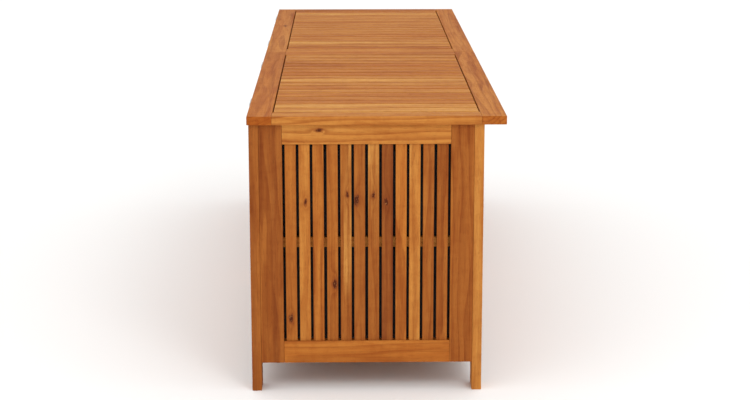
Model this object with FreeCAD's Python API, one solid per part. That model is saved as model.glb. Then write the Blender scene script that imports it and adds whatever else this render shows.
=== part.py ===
import FreeCAD, Part
import math
import os

# Slatted garden storage box in solid hardwood, in millimetres.
# +X runs along the box, the front is towards -Y, the hinges are on the back (+Y) and Z is up.
# The origin is on the ground, at the middle of the overall box.
# Six legs carry two long sides and two ends, each a frame filled with upright slats.
# A fabric liner stands on a slatted floor, and a slatted lid turns on butt hinges at the back.

V = FreeCAD.Vector

# ---- overall sizes ----
LID_LENGTH = 1750.0
LID_DEPTH = 500.0
HEIGHT = 555.0
LID_THICKNESS = 17.0
END_OVERHANG = 10.0
FRONT_OVERHANG = 42.0
BACK_OVERHANG = 3.0

# ---- body frames ----
BOARD = 19.0
LEG_WIDTH = 45.0
STILE_WIDTH = 45.0
TOP_RAIL = 39.5
BOTTOM_RAIL = 45.0
FOOT_HEIGHT = 58.0
SLAT_WIDTH = 21.5
SLAT_THICKNESS = 10.0
SLAT_GAP = 5.35
SLAT_RECESS = 4.0
SLAT_TONGUE = 8.0
MID_RAIL_HEIGHT = 20.0
MID_RAIL_THICKNESS = 10.0
MID_RAIL_LAP = 18.0
MID_RAIL_LEVEL = 0.5
TENON_LENGTH = 18.0
TENON_THICKNESS = 7.0
TENON_SHOULDER = 6.0

# ---- joining boards, floor and liner ----
JOINER_WIDTH = 76.0
JOINER_THICKNESS = 10.0
BEARER_HEIGHT = 20.0
BEARER_THICKNESS = 18.0
FLOOR_WIDTH = 60.0
FLOOR_THICKNESS = 12.0
FLOOR_GAP = 22.0
FLOOR_DROP = 5.0
FLOOR_ROOM = 1.5
LINER_WALL = 1.5
LINER_ROOM = 2.0
LINER_CORNER = 20.0
LINER_RISE = 6.0
TAB_WIDTH = 30.0
TAB_HEIGHT = 22.0
TAB_SPACING = 360.0

# ---- lid ----
LID_RAIL = 48.0
LID_SLAT_WIDTH = 40.5
LID_SLAT_THICKNESS = 12.0
LID_SLAT_GAP = 5.0
LID_SLAT_END_GAP = 2.5
BATTEN_WIDTH = 30.0
BATTEN_DROP = 15.0
CLEAT_WIDTH = 40.0
CLEAT_LENGTH = 260.0
LID_ROOM = 8.0

# ---- hinges ----
HINGE_LENGTH = 70.0
LEAF_THICKNESS = 2.0
KNUCKLE_RADIUS = 4.0
KNUCKLES = 5
PIN_RADIUS = 2.0
HINGE_FROM_END = 185.0
HINGE_FROM_MIDDLE = 185.0
LOWER_LEAF_HEIGHT = 30.0
UPPER_LEAF_MARGIN = 2.0
PIN_HEAD = 1.0

# ---- bolts and screws ----
BOLT_RADIUS = 3.0
BOLT_LENGTH = 48.0
BOLT_HEAD_RADIUS = 6.5
BOLT_HEAD_HEIGHT = 3.2
BOLT_SINK = 0.8
SOCKET_WIDTH = 4.0
NUT_RADIUS = 5.0
NUT_LENGTH = 14.0
NUT_DEPTH = 7.0
BOLT_FROM_EDGE = 62.0
SCREW_RADIUS = 2.0
SCREW_HEAD_RADIUS = 4.0
PAN_HEAD_HEIGHT = 2.0
SCREW_FROM_EDGE = 15.0
SCREW_COVER = 4.0
HINGE_SCREW_LENGTH = 16.0
LID_HINGE_SCREW_LENGTH = 25.0

# ---- fits and clearances ----
JOINT_FIT = 0.1
BOLT_CLEARANCE = 0.3
THREAD_FIT = 0.05
PIN_FIT = 0.05
KNUCKLE_SIDE_GAP = 0.3
LEAF_CLEARANCE = 0.5

# ---- derived places ----
BODY_TOP = HEIGHT - LID_THICKNESS
BODY_LENGTH = LID_LENGTH - 2 * END_OVERHANG
BODY_DEPTH = LID_DEPTH - FRONT_OVERHANG - BACK_OVERHANG
PIN_OFFSET = max(KNUCKLE_RADIUS + LEAF_CLEARANCE, BACK_OVERHANG + LEAF_THICKNESS - LEAF_CLEARANCE)
REACH_BACK = max(PIN_OFFSET + KNUCKLE_RADIUS, BACK_OVERHANG + LEAF_THICKNESS)
BACK = (LID_DEPTH - BACK_OVERHANG - REACH_BACK) / 2
FRONT = BACK - BODY_DEPTH
LEFT = -BODY_LENGTH / 2
RIGHT = BODY_LENGTH / 2
PIN_Y = BACK + PIN_OFFSET
PIN_Z = BODY_TOP - 2 * KNUCKLE_RADIUS
SLAT_FRONT = SLAT_RECESS
SLAT_BACK = SLAT_RECESS + SLAT_THICKNESS
MID_RAIL_BACK = SLAT_BACK + MID_RAIL_THICKNESS
OPEN_BOTTOM = FOOT_HEIGHT + BOTTOM_RAIL
OPEN_TOP = BODY_TOP - TOP_RAIL
MID_RAIL_Z = OPEN_BOTTOM + (OPEN_TOP - OPEN_BOTTOM) * MID_RAIL_LEVEL
FLOOR_TOP = OPEN_BOTTOM - FLOOR_DROP
BEARER_TOP = FLOOR_TOP - FLOOR_THICKNESS

# Each wall of the box: the axis across it, its outer face and the way inwards.
WALLS = {
    "front": ("y", FRONT, 1),
    "back": ("y", BACK, -1),
    "left": ("x", LEFT, 1),
    "right": ("x", RIGHT, -1),
}

nodes = {}
holes = []


def box(x, y, z, grow=0.0):
    """A box from three (low, high) pairs, larger by grow on every side."""
    x, y, z = sorted(x), sorted(y), sorted(z)
    size = [pair[1] - pair[0] + 2 * grow for pair in (x, y, z)]
    return Part.makeBox(*size, V(x[0] - grow, y[0] - grow, z[0] - grow))


def in_wall(wall, along, depth, z, grow=0.0):
    """A box in a wall: a stretch along it, a depth in from its outer face, and a height."""
    across, face, inwards = WALLS[wall]
    deep = [face + inwards * d for d in depth]
    if across == "y":
        return box(along, deep, z, grow)
    return box(deep, along, z, grow)


def tenon(wall, shoulder, way, z, grow=0.0):
    """The tongue on a rail's end, which stands way (+1 or -1) out of the shoulder."""
    middle = BOARD / 2
    depth = (middle - TENON_THICKNESS / 2, middle + TENON_THICKNESS / 2)
    tip = shoulder + way * (TENON_LENGTH + grow)
    high = (z[0] + TENON_SHOULDER, z[1] - TENON_SHOULDER)
    return in_wall(wall, (shoulder, tip), depth, high, grow)


def even_gap(room, width, wanted):
    """How many strips of a width fill the room, and the gap that spaces them evenly."""
    count = max(1, round((room - wanted) / (width + wanted)))
    return count, (room - count * width) / (count + 1)


def group(shapes):
    """One solid as it is, or several as a compound."""
    return shapes[0] if len(shapes) == 1 else Part.makeCompound(shapes)


def axis_shape(profile, place, way):
    """Turns a shape built up +Z from the origin to point along way, and puts it in place."""
    shape = profile.copy()
    shape.Placement = FreeCAD.Placement(place, FreeCAD.Rotation(V(0, 0, 1), way))
    return shape


def wood_screw(place, way, length):
    """A countersunk screw whose flat head is flush at place. Its hole is noted for the wood."""
    drop = SCREW_HEAD_RADIUS - SCREW_RADIUS

    def made(extra):
        head = Part.makeCone(SCREW_HEAD_RADIUS + extra, SCREW_RADIUS + extra, drop)
        return head.fuse(Part.makeCylinder(SCREW_RADIUS + extra, length + extra)).removeSplitter()

    holes.append(axis_shape(made(THREAD_FIT), place, way))
    return axis_shape(made(0.0), place, way)


def pan_screw(place, way, length):
    """A screw with a round head that stands on the surface at place."""
    head = Part.makeCylinder(SCREW_HEAD_RADIUS, PAN_HEAD_HEIGHT, V(0, 0, -PAN_HEAD_HEIGHT))
    shank = Part.makeCylinder(SCREW_RADIUS, length)
    hole = Part.makeCylinder(SCREW_RADIUS + THREAD_FIT, length + THREAD_FIT)
    holes.append(axis_shape(hole, place, way))
    return axis_shape(head.fuse(shank).removeSplitter(), place, way)


def panel_rails(wall, name, low, high):
    """The top and bottom rails of a framed panel, with tenons and a groove for the slats."""
    for part, z in (("bottom", (FOOT_HEIGHT, OPEN_BOTTOM)), ("top", (OPEN_TOP, BODY_TOP))):
        rail = in_wall(wall, (low, high), (0, BOARD), z)
        rail = rail.fuse([tenon(wall, low, -1, z), tenon(wall, high, 1, z)])
        if part == "bottom":
            groove = (OPEN_BOTTOM - SLAT_TONGUE - JOINT_FIT, OPEN_BOTTOM)
        else:
            groove = (OPEN_TOP, OPEN_TOP + SLAT_TONGUE + JOINT_FIT)
        depth = (SLAT_FRONT - JOINT_FIT, SLAT_BACK + JOINT_FIT)
        rail = rail.cut(in_wall(wall, (low, high), depth, groove))
        nodes[f"{part}_rail_{name}"] = rail


def panel_slats(wall, low, high):
    """The upright slats of a panel, with their ends in the rails' grooves."""
    count, gap = even_gap(high - low, SLAT_WIDTH, SLAT_GAP)
    z = (OPEN_BOTTOM - SLAT_TONGUE, OPEN_TOP + SLAT_TONGUE)
    starts = [low + gap + i * (SLAT_WIDTH + gap) for i in range(count)]
    return [in_wall(wall, (u, u + SLAT_WIDTH), (SLAT_FRONT, SLAT_BACK), z) for u in starts]


def mid_rail(wall, low, high):
    """The rail behind the slats. Its ends are thinned to lap onto the inner face of the frame."""
    z = (MID_RAIL_Z - MID_RAIL_HEIGHT / 2, MID_RAIL_Z + MID_RAIL_HEIGHT / 2)
    span = (low - MID_RAIL_LAP, high + MID_RAIL_LAP)
    lap = in_wall(wall, span, (BOARD, MID_RAIL_BACK), z)
    core = in_wall(wall, (low + JOINT_FIT, high - JOINT_FIT), (SLAT_BACK, MID_RAIL_BACK), z)
    return lap.fuse(core).removeSplitter()


def upright(wall, along, foot, rail_sides):
    """A leg or stile. rail_sides lists which of its edges takes the rails' tenons."""
    post = in_wall(wall, along, (0, BOARD), (foot, BODY_TOP))
    for way in rail_sides:
        shoulder = max(along) if way > 0 else min(along)
        for z in ((FOOT_HEIGHT, OPEN_BOTTOM), (OPEN_TOP, BODY_TOP)):
            post = post.cut(tenon(wall, shoulder, -way, z, JOINT_FIT))
    return post


def long_sides():
    """Front and back: two framed panels each, side by side, with a pair of middle legs."""
    for wall in ("front", "back"):
        middle_legs, mid_rails = [], []
        for side, way in (("left", -1), ("right", 1)):
            outer = way * BODY_LENGTH / 2
            corner = (outer, outer - way * LEG_WIDTH)
            inner = (0, way * LEG_WIDTH)
            nodes[f"corner_leg_{wall}_{side}"] = upright(wall, corner, 0, [-way])
            middle_legs.append(upright(wall, inner, 0, [way]))
            low, high = sorted((corner[1], inner[1]))
            name = f"{wall}_{side}"
            panel_rails(wall, name, low, high)
            nodes[f"slats_{name}"] = group(panel_slats(wall, low, high))
            mid_rails.append(mid_rail(wall, low, high))
        nodes[f"middle_legs_{wall}"] = group(middle_legs)
        nodes[f"mid_rails_{wall}"] = group(mid_rails)


def ends():
    """The two ends: a framed panel each, held between the corner legs."""
    low, high = FRONT + BOARD, BACK - BOARD
    mid_rails = []
    for wall in ("left", "right"):
        front_stile, back_stile = (low, low + STILE_WIDTH), (high - STILE_WIDTH, high)
        nodes[f"end_stile_{wall}_front"] = upright(wall, front_stile, FOOT_HEIGHT, [1])
        nodes[f"end_stile_{wall}_back"] = upright(wall, back_stile, FOOT_HEIGHT, [-1])
        panel_rails(wall, f"end_{wall}", front_stile[1], back_stile[0])
        nodes[f"end_slats_{wall}"] = group(panel_slats(wall, front_stile[1], back_stile[0]))
        mid_rails.append(mid_rail(wall, front_stile[1], back_stile[0]))
    nodes["end_mid_rails"] = group(mid_rails)


def joiners():
    """Boards inside the middle legs, which join each side's two panels."""
    screws = []
    z = (OPEN_BOTTOM + 2 * SCREW_FROM_EDGE, OPEN_TOP - SCREW_FROM_EDGE)
    half = JOINER_WIDTH / 2
    room = MID_RAIL_LAP + LEG_WIDTH
    for wall in ("front", "back"):
        across, face, inwards = WALLS[wall]
        joiner = in_wall(wall, (-half, half), (BOARD, BOARD + JOINER_THICKNESS), z)
        lap = (MID_RAIL_Z - MID_RAIL_HEIGHT / 2, MID_RAIL_Z + MID_RAIL_HEIGHT / 2)
        for way in (-1, 1):
            notch = (way * (LEG_WIDTH - MID_RAIL_LAP), way * room)
            depth = (BOARD, BOARD + JOINER_THICKNESS)
            joiner = joiner.cut(in_wall(wall, notch, depth, lap, JOINT_FIT))
        nodes[f"panel_joiner_{wall}"] = joiner
        top = face + inwards * (BOARD + JOINER_THICKNESS)
        for x in (-LEG_WIDTH / 2, LEG_WIDTH / 2):
            for height in spread(z[0] + SCREW_FROM_EDGE, z[1] - SCREW_FROM_EDGE, 4):
                place = V(x, top, height)
                length = JOINER_THICKNESS + BOARD - SCREW_COVER
                screws.append(wood_screw(place, V(0, -inwards, 0), length))
    return screws


def spread(low, high, count):
    """Places from low to high, evenly spaced, both ends included."""
    return [low + (high - low) * i / (count - 1) for i in range(count)]


def floor():
    """Bearers along the bottom rails and the boards across them."""
    screws, bearers, boards = [], [], []
    low, high = FLOOR_ROOM, BODY_LENGTH / 2 - BOARD - FLOOR_ROOM
    count, gap = even_gap(high - low, FLOOR_WIDTH, FLOOR_GAP)
    for way in (-1, 1):
        for wall in ("front", "back"):
            across, face, inwards = WALLS[wall]
            depth = (BOARD, BOARD + BEARER_THICKNESS)
            z = (BEARER_TOP - BEARER_HEIGHT, BEARER_TOP)
            bearers.append(in_wall(wall, (way * low, way * high), depth, z))
            start, stop = LEG_WIDTH + TENON_LENGTH, high - LEG_WIDTH - TENON_LENGTH
            for x in spread(start, stop, 4):
                place = V(way * x, face + inwards * depth[1], sum(z) / 2)
                length = BEARER_THICKNESS + BOARD - SCREW_COVER
                screws.append(wood_screw(place, V(0, -inwards, 0), length))
        for i in range(count):
            start = low + gap + i * (FLOOR_WIDTH + gap)
            x = (way * start, way * (start + FLOOR_WIDTH))
            y = (FRONT + BOARD + FLOOR_ROOM, BACK - BOARD - FLOOR_ROOM)
            boards.append(box(x, y, (BEARER_TOP, FLOOR_TOP)))
    nodes["floor_bearers"] = group(bearers)
    nodes["floor_boards"] = group(boards)
    return screws


def round_box(x, y, z, radius):
    """An upright box with rounded corners."""
    shape = box(x, y, z)
    uprights = [e for e in shape.Edges if abs(e.tangentAt(e.FirstParameter).z) > 0.99]
    return shape.makeFillet(radius, uprights)


def liner():
    """The fabric bag, open at the top, and the tabs that hang it from the top rails."""
    inside = max(MID_RAIL_BACK, BOARD + JOINER_THICKNESS) + LINER_ROOM
    end = BODY_LENGTH / 2 - MID_RAIL_BACK - LINER_ROOM
    x, y = (-end, end), (FRONT + inside, BACK - inside)
    rim = OPEN_TOP + LINER_RISE
    bag = round_box(x, y, (FLOOR_TOP, rim), LINER_CORNER)
    inner_x = (x[0] + LINER_WALL, x[1] - LINER_WALL)
    inner_y = (y[0] + LINER_WALL, y[1] - LINER_WALL)
    hollow = round_box(inner_x, inner_y, (FLOOR_TOP + LINER_WALL, rim + 1), LINER_CORNER - LINER_WALL)
    nodes["liner_bag"] = bag.cut(hollow)
    tabs, screws = [], []
    for wall, span, rim_depth in (
        ("front", end, inside),
        ("back", end, inside),
        ("left", (y[1] - y[0]) / 2, MID_RAIL_BACK + LINER_ROOM),
        ("right", (y[1] - y[0]) / 2, MID_RAIL_BACK + LINER_ROOM),
    ):
        across, face, inwards = WALLS[wall]
        centre = 0.0 if across == "y" else (y[0] + y[1]) / 2
        half_count = max(1, int((span - TAB_WIDTH * 2) / TAB_SPACING + 0.5))
        pitch = (span - 2 * TAB_WIDTH) / half_count
        if across == "y":
            middles = [pitch * (i + 0.5) * way for i in range(half_count) for way in (-1, 1)]
        else:
            middles = [centre - pitch / 2, centre + pitch / 2]
        for u in middles:
            along = (u - TAB_WIDTH / 2, u + TAB_WIDTH / 2)
            up = (rim - LINER_WALL, rim + TAB_HEIGHT)
            tab = in_wall(wall, along, (BOARD, BOARD + LINER_WALL), up)
            foot = in_wall(wall, along, (BOARD, rim_depth), (rim - LINER_WALL, rim))
            tabs.append(tab.fuse(foot).removeSplitter())
            deep = face + inwards * (BOARD + LINER_WALL)
            height = rim + TAB_HEIGHT - SCREW_HEAD_RADIUS - 3.0
            if across == "y":
                place, way_in = V(u, deep, height), V(0, -inwards, 0)
            else:
                place, way_in = V(deep, u, height), V(-inwards, 0, 0)
            screws.append(pan_screw(place, way_in, BOARD - SCREW_COVER))
    nodes["liner_tabs"] = group(tabs)
    nodes["liner_screws"] = group(screws)


def corner_bolts():
    """Bolts through the corner legs into barrel nuts in the end stiles, two to a corner.

    Their heads are sunk just below the legs' faces.
    """
    bolts, nuts = [], []
    for wall in ("front", "back"):
        across, face, inwards = WALLS[wall]
        for way in (-1, 1):
            x = way * (BODY_LENGTH / 2 - BOARD + NUT_DEPTH)
            for z in (FOOT_HEIGHT + BOLT_FROM_EDGE, BODY_TOP - BOLT_FROM_EDGE):
                along = V(0, inwards, 0)
                seat_y = face + inwards * (BOLT_HEAD_HEIGHT + BOLT_SINK)
                place = V(x, seat_y, z)
                head = Part.makeCylinder(BOLT_HEAD_RADIUS, BOLT_HEAD_HEIGHT, V(0, 0, -BOLT_HEAD_HEIGHT))
                socket = hexagon(SOCKET_WIDTH, BOLT_HEAD_HEIGHT * 0.7)
                socket.translate(V(0, 0, -BOLT_HEAD_HEIGHT))
                bolt = head.cut(socket).fuse(Part.makeCylinder(BOLT_RADIUS, BOLT_LENGTH))
                bolts.append(axis_shape(bolt.removeSplitter(), place, along))
                hole = Part.makeCylinder(BOLT_RADIUS + BOLT_CLEARANCE, BOLT_LENGTH + BOLT_CLEARANCE)
                recess = Part.makeCylinder(BOLT_HEAD_RADIUS + BOLT_CLEARANCE, BOLT_HEAD_HEIGHT + BOLT_SINK)
                holes.append(axis_shape(hole, place, along))
                holes.append(axis_shape(recess, V(x, face, z), along))
                reach = BOLT_LENGTH - 1.5 * NUT_RADIUS
                start = V(way * (BODY_LENGTH / 2 - BOARD), seat_y + inwards * reach, z)
                nut = Part.makeCylinder(NUT_RADIUS, NUT_LENGTH)
                base = V(0, 0, -2 * NUT_RADIUS)
                thread = Part.makeCylinder(BOLT_RADIUS + THREAD_FIT, 4 * NUT_RADIUS, base)
                nut = axis_shape(nut, start, V(way, 0, 0))
                through = V(x, start.y, z)
                nuts.append(nut.cut(axis_shape(thread, through, along)))
                seat = Part.makeCylinder(NUT_RADIUS + JOINT_FIT, NUT_LENGTH + JOINT_FIT)
                holes.append(axis_shape(seat, start, V(way, 0, 0)))
    nodes["corner_bolts"] = group(bolts)
    nodes["barrel_nuts"] = group(nuts)


def hexagon(width, height):
    """A hexagonal prism of a width across its flats, up from the origin."""
    radius = width / math.sqrt(3)
    corners = [V(radius * math.cos(math.radians(a)), radius * math.sin(math.radians(a)), 0)
               for a in range(0, 360, 60)]
    face = Part.Face(Part.makePolygon(corners + [corners[0]]))
    return face.extrude(V(0, 0, height))


def hinges():
    """Butt hinges: the lower leaf on the back top rail, the upper on the lid's back edge."""
    lower, upper, pins, lower_screws, upper_screws = [], [], [], [], []
    lid_back = BACK + BACK_OVERHANG
    middles = [HINGE_FROM_MIDDLE, LID_LENGTH / 2 - HINGE_FROM_END]
    step = HINGE_LENGTH / KNUCKLES
    for centre in [-m for m in middles] + middles:
        start = centre - HINGE_LENGTH / 2
        ends_x = (start, start + HINGE_LENGTH)
        bottom = PIN_Z - LOWER_LEAF_HEIGHT
        low_leaf = box(ends_x, (BACK, BACK + LEAF_THICKNESS), (bottom, PIN_Z))
        top = HEIGHT - UPPER_LEAF_MARGIN
        high_leaf = box(ends_x, (lid_back, lid_back + LEAF_THICKNESS), (PIN_Z, top))
        bore = PIN_RADIUS + PIN_FIT
        room = KNUCKLE_RADIUS + LEAF_CLEARANCE
        for i in range(KNUCKLES):
            a = start + i * step
            b = a + step
            inner = (a + KNUCKLE_SIDE_GAP / 2, b - KNUCKLE_SIDE_GAP / 2)
            place = V(inner[0], PIN_Y, PIN_Z)
            barrel = Part.makeCylinder(KNUCKLE_RADIUS, inner[1] - inner[0], place, V(1, 0, 0))
            slot = (a - KNUCKLE_SIDE_GAP / 2, b + KNUCKLE_SIDE_GAP / 2)
            clear = box(slot, (BACK, PIN_Y + room), (PIN_Z - room, PIN_Z + room))
            if i % 2 == 0:
                low_leaf, high_leaf = low_leaf.fuse(barrel), high_leaf.cut(clear)
            else:
                low_leaf, high_leaf = low_leaf.cut(clear), high_leaf.fuse(barrel)
        hole = Part.makeCylinder(bore, HINGE_LENGTH + 2, V(start - 1, PIN_Y, PIN_Z), V(1, 0, 0))
        low_leaf = low_leaf.cut(hole)
        high_leaf = high_leaf.cut(hole)
        pin = Part.makeCylinder(PIN_RADIUS, HINGE_LENGTH, V(start, PIN_Y, PIN_Z), V(1, 0, 0))
        for x in (start - PIN_HEAD, start + HINGE_LENGTH):
            head = Part.makeCylinder(PIN_RADIUS + PIN_HEAD, PIN_HEAD, V(x, PIN_Y, PIN_Z), V(1, 0, 0))
            pin = pin.fuse(head)
        pins.append(pin.removeSplitter())
        for x in spread(start + HINGE_LENGTH / 7, start + HINGE_LENGTH * 6 / 7, 3):
            z = bottom + (LOWER_LEAF_HEIGHT - KNUCKLE_RADIUS) / 2
            place = V(x, BACK + LEAF_THICKNESS, z)
            lower_screws.append(wood_screw(place, V(0, -1, 0), HINGE_SCREW_LENGTH))
            low_leaf = low_leaf.cut(holes[-1])
            place = V(x, lid_back + LEAF_THICKNESS, BODY_TOP + (top - BODY_TOP) * 0.55)
            upper_screws.append(wood_screw(place, V(0, -1, 0), LID_HINGE_SCREW_LENGTH))
            high_leaf = high_leaf.cut(holes[-1])
        lower.append(low_leaf.removeSplitter())
        upper.append(high_leaf.removeSplitter())
    nodes["hinge_lower_leaves"] = group(lower)
    nodes["hinge_upper_leaves"] = group(upper)
    nodes["hinge_pins"] = group(pins)
    nodes["hinge_lower_screws"] = group(lower_screws)
    nodes["hinge_upper_screws"] = group(upper_screws)


def lid():
    """Two framed and slatted panels end to end, on battens, joined by cleats at the seam."""
    z = (BODY_TOP, HEIGHT)
    front, back = FRONT - FRONT_OVERHANG, BACK + BACK_OVERHANG
    slat_y = (front + LID_RAIL + LID_SLAT_END_GAP, back - LID_RAIL - LID_SLAT_END_GAP)
    tongue_z = (BODY_TOP + TENON_SHOULDER - 1.0, HEIGHT - TENON_SHOULDER + 1.0)
    under = (FRONT + BOARD + LID_ROOM, back - LID_RAIL)
    cleat_middles = [under[0] + CLEAT_WIDTH / 2, sum(under) / 2, under[1] - CLEAT_WIDTH / 2]
    batten_middles = [(cleat_middles[i] + cleat_middles[i + 1]) / 2 for i in (0, 1)]
    slat_bottom = HEIGHT - LID_SLAT_THICKNESS
    battens, screws = [], []
    for side, way in (("left", -1), ("right", 1)):
        outer = way * LID_LENGTH / 2
        edges = {"end": (outer, outer - way * LID_RAIL), "middle": (way * LID_RAIL, 0)}
        fronts = box((outer, 0), (front, front + LID_RAIL), z)
        backs = box((outer, 0), (back - LID_RAIL, back), z)
        for name, x in edges.items():
            rail = box(x, (front + LID_RAIL, back - LID_RAIL), z)
            tongue_x = (min(x) + TENON_SHOULDER, max(x) - TENON_SHOULDER)
            for y in ((front + LID_RAIL - TENON_LENGTH, front + LID_RAIL),
                      (back - LID_RAIL, back - LID_RAIL + TENON_LENGTH)):
                rail = rail.fuse(box(tongue_x, y, tongue_z))
                fronts = fronts.cut(box(tongue_x, y, tongue_z, JOINT_FIT))
                backs = backs.cut(box(tongue_x, y, tongue_z, JOINT_FIT))
            nodes[f"lid_{name}_rail_{side}"] = rail
        nodes[f"lid_front_rail_{side}"] = fronts
        nodes[f"lid_back_rail_{side}"] = backs
        low, high = LID_RAIL, LID_LENGTH / 2 - LID_RAIL
        count, gap = even_gap(high - low, LID_SLAT_WIDTH, LID_SLAT_GAP)
        slats = []
        for i in range(count):
            start = low + gap + i * (LID_SLAT_WIDTH + gap)
            x = (way * start, way * (start + LID_SLAT_WIDTH))
            slats.append(box(x, slat_y, (slat_bottom, HEIGHT)))
        nodes[f"lid_slats_{side}"] = group(slats)
        reach = BODY_LENGTH / 2 - BOARD - LID_ROOM
        lap = min(reach - high, LID_RAIL - LID_ROOM)
        for y in batten_middles:
            width = (y - BATTEN_WIDTH / 2, y + BATTEN_WIDTH / 2)
            long_part = box((way * (low - lap), way * reach), width, (BODY_TOP - BATTEN_DROP, BODY_TOP))
            raised = box((way * low, way * high), width, (BODY_TOP, slat_bottom))
            battens.append(long_part.fuse(raised).removeSplitter())
            for x in (low - lap / 2, high + lap / 2):
                place = V(way * x, y, BODY_TOP - BATTEN_DROP)
                screws.append(wood_screw(place, V(0, 0, 1), BATTEN_DROP + LID_THICKNESS - SCREW_COVER))
    cleats = []
    for y in cleat_middles:
        x = (-CLEAT_LENGTH / 2, CLEAT_LENGTH / 2)
        width = (y - CLEAT_WIDTH / 2, y + CLEAT_WIDTH / 2)
        cleats.append(box(x, width, (BODY_TOP - BATTEN_DROP, BODY_TOP)))
        for way in (-1, 1):
            for offset in (-CLEAT_WIDTH / 4, CLEAT_WIDTH / 4):
                place = V(way * LID_RAIL / 2, y + offset, BODY_TOP - BATTEN_DROP)
                screws.append(wood_screw(place, V(0, 0, 1), BATTEN_DROP + LID_THICKNESS - SCREW_COVER))
    nodes["lid_battens"] = group(battens)
    nodes["lid_seam_cleats"] = group(cleats)
    nodes["lid_screws"] = group(screws)


def touching(a, b):
    """Whether two bounding boxes meet."""
    return not (
        a.XMax <= b.XMin or b.XMax <= a.XMin
        or a.YMax <= b.YMin or b.YMax <= a.YMin
        or a.ZMax <= b.ZMin or b.ZMax <= a.ZMin
    )


def drilled(shape):
    """The shape with every noted hole that reaches it cut out, solid by solid."""
    solids = []
    for piece in shape.Solids:
        near = [h for h in holes if touching(h.BoundBox, piece.BoundBox)]
        solids.append(piece.cut(near).Solids[0] if near else piece)
    return group(solids)


def main():
    long_sides()
    ends()
    wood_screws = joiners() + floor()
    nodes["body_screws"] = group(wood_screws)
    liner()
    corner_bolts()
    hinges()
    lid()
    metal = ("screws", "bolts", "nuts", "leaves", "pins", "liner_bag")
    os.makedirs("parts", exist_ok=True)
    for name, shape in nodes.items():
        if not name.endswith(metal):
            shape = drilled(shape)
        shape.exportStep(f"parts/{name}.step")


main()
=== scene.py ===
import math
import random

import bmesh
import bpy
from mathutils import Matrix, Vector


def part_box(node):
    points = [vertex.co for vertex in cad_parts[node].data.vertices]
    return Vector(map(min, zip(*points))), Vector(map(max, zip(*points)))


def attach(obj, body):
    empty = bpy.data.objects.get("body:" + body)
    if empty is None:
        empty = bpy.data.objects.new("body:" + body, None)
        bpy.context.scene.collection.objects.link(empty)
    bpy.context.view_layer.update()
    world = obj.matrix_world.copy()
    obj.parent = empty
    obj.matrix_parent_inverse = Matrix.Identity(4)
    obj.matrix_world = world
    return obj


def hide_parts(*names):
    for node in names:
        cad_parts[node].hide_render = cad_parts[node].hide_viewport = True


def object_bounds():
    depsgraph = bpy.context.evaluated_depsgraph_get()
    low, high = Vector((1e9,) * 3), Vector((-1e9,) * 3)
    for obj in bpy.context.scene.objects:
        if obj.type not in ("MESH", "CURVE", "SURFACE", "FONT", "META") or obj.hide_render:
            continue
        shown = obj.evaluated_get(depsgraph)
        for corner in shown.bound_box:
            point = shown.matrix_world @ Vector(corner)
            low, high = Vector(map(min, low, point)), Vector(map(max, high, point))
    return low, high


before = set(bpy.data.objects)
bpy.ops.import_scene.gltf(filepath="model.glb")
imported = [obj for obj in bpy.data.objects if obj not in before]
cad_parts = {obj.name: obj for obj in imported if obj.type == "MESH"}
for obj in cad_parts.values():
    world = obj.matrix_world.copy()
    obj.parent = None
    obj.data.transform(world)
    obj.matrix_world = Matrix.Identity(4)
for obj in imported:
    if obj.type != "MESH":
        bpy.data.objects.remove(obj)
cad_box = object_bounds()

# ---- Corner legs ----
# Four legs in oiled acacia, sawn 45 x 19 mm, planed and with their arrises eased by sandpaper.
# Each is one board from the ground to the lid, and the end panels are bolted between them.

MM = 0.001
EASED = 1.3 * MM
NO_KNOT = (9.0, 9.0, 0.01)


def linear(hex_colour):
    """The linear colour of an sRGB hex colour."""
    channels = [int(hex_colour[i : i + 2], 16) / 255 for i in (1, 3, 5)]
    return tuple(c / 12.92 if c <= 0.04045 else ((c + 0.055) / 1.055) ** 2.4 for c in channels)


def add(tree, kind, links, **settings):
    """Adds a node. Each entry of links is a socket's name or number, and a source or a value."""
    node = tree.nodes.new(kind)
    for name, value in settings.items():
        setattr(node, name, value)
    for socket, source in links.items():
        if isinstance(source, bpy.types.NodeSocket):
            tree.links.new(source, node.inputs[socket])
        else:
            node.inputs[socket].default_value = source
    return node


def new_material(name):
    """An empty node material, its tree and its output."""
    material = bpy.data.materials.new(name)
    material.use_nodes = True
    tree = material.node_tree
    tree.nodes.clear()
    return material, tree, tree.nodes.new("ShaderNodeOutputMaterial")


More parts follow.
